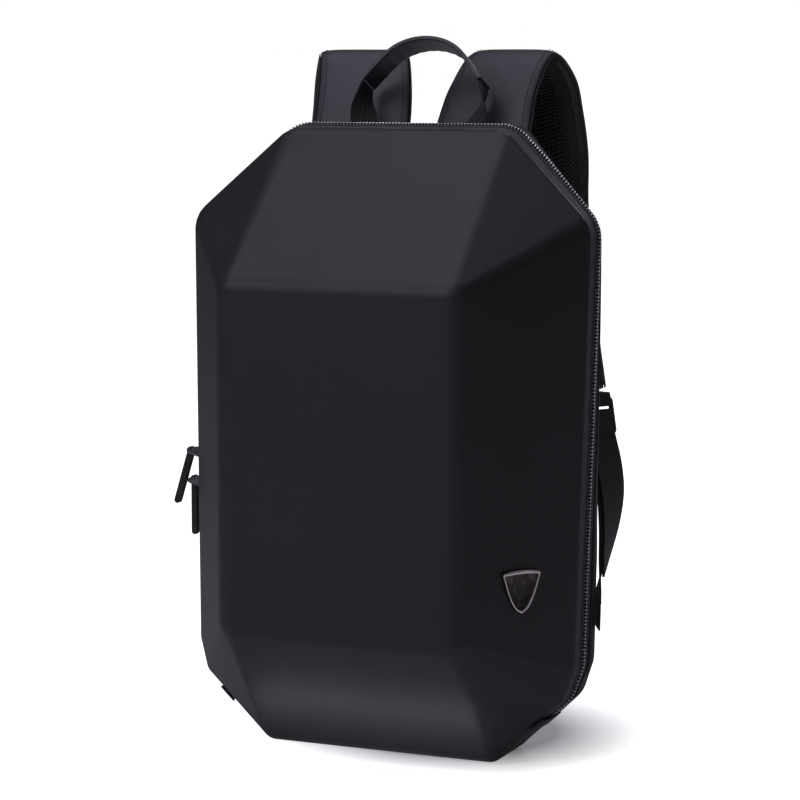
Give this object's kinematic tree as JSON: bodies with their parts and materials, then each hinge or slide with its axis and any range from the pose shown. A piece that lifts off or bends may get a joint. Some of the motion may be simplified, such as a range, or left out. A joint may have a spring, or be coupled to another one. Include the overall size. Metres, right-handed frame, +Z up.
{
  "type": "hard shell backpack",
  "caption": "Standing backpack with a moulded faceted front shell, zip round its rim, carrying handle, padded shoulder straps and ladder lock adjusters.",
  "frame": {"origin": "on the floor under the middle of the flat base", "axes": "+Z up; the front shell faces -Y and the shoulder straps hang behind at +Y; +X is the bag's right as seen from the front"},
  "size_m": [0.3342, 0.2205, 0.515],
  "materials": {
    "shell": "moulded shell under a fine woven, coated skin, satin black",
    "body_fabric": "coated black bag cloth",
    "zip_tape": "woven black zip tape",
    "zip_chain": "dark plated zip teeth",
    "zip_metal": "dark nickel plated slider",
    "pull_rubber": "moulded black rubber pull",
    "badge_metal": "gunmetal plate with a bright raised border, bare field",
    "grip": "smooth black synthetic leather over a stiff strip",
    "webbing": "woven black nylon webbing",
    "strap_cover": "smooth satin black coated cloth with a woven binding",
    "padding_mesh": "black spacer mesh",
    "lock_plastic": "moulded black acetal"
  },
  "bodies": {
    "bag": {"front_shell": "shell", "rear_body": "body_fabric", "base_gusset": "body_fabric", "zip_tape_front": "zip_tape", "zip_chain": "zip_chain", "zip_tape_rear": "zip_tape", "zip_end_tab_right": "body_fabric", "zip_end_tab_left": "body_fabric", "back_pad": "padding_mesh", "zip_slider_upper": "zip_metal", "zip_slider_lower": "zip_metal", "badge": "badge_metal", "handle_grip": "grip", "handle_webbing_right": "webbing", "handle_webbing_left": "webbing", "shoulder_strap_right": "strap_cover", "strap_mesh_right": "padding_mesh", "ladder_lock_right": "lock_plastic", "lock_loop_right": "webbing", "strap_anchor_right": "body_fabric", "lower_webbing_right": "webbing", "shoulder_strap_left": "strap_cover", "strap_mesh_left": "padding_mesh", "ladder_lock_left": "lock_plastic", "lock_loop_left": "webbing", "strap_anchor_left": "body_fabric", "lower_webbing_left": "webbing"},
    "pull_upper": {"zip_pull_upper": "pull_rubber"},
    "pull_lower": {"zip_pull_lower": "pull_rubber"}
  },
  "joints": [
    {"name": "pull_upper_swing", "type": "hinge", "parent": "bag", "child": "pull_upper", "pos_m": [-0.16472, 0.00242, 0.208], "axis": [0, 1, 0], "range_deg": [-3, 135]},
    {"name": "pull_lower_swing", "type": "hinge", "parent": "bag", "child": "pull_lower", "pos_m": [-0.16425, 0.00178, 0.186], "axis": [0, 1, 0], "range_deg": [-10, 150]}
  ]
}
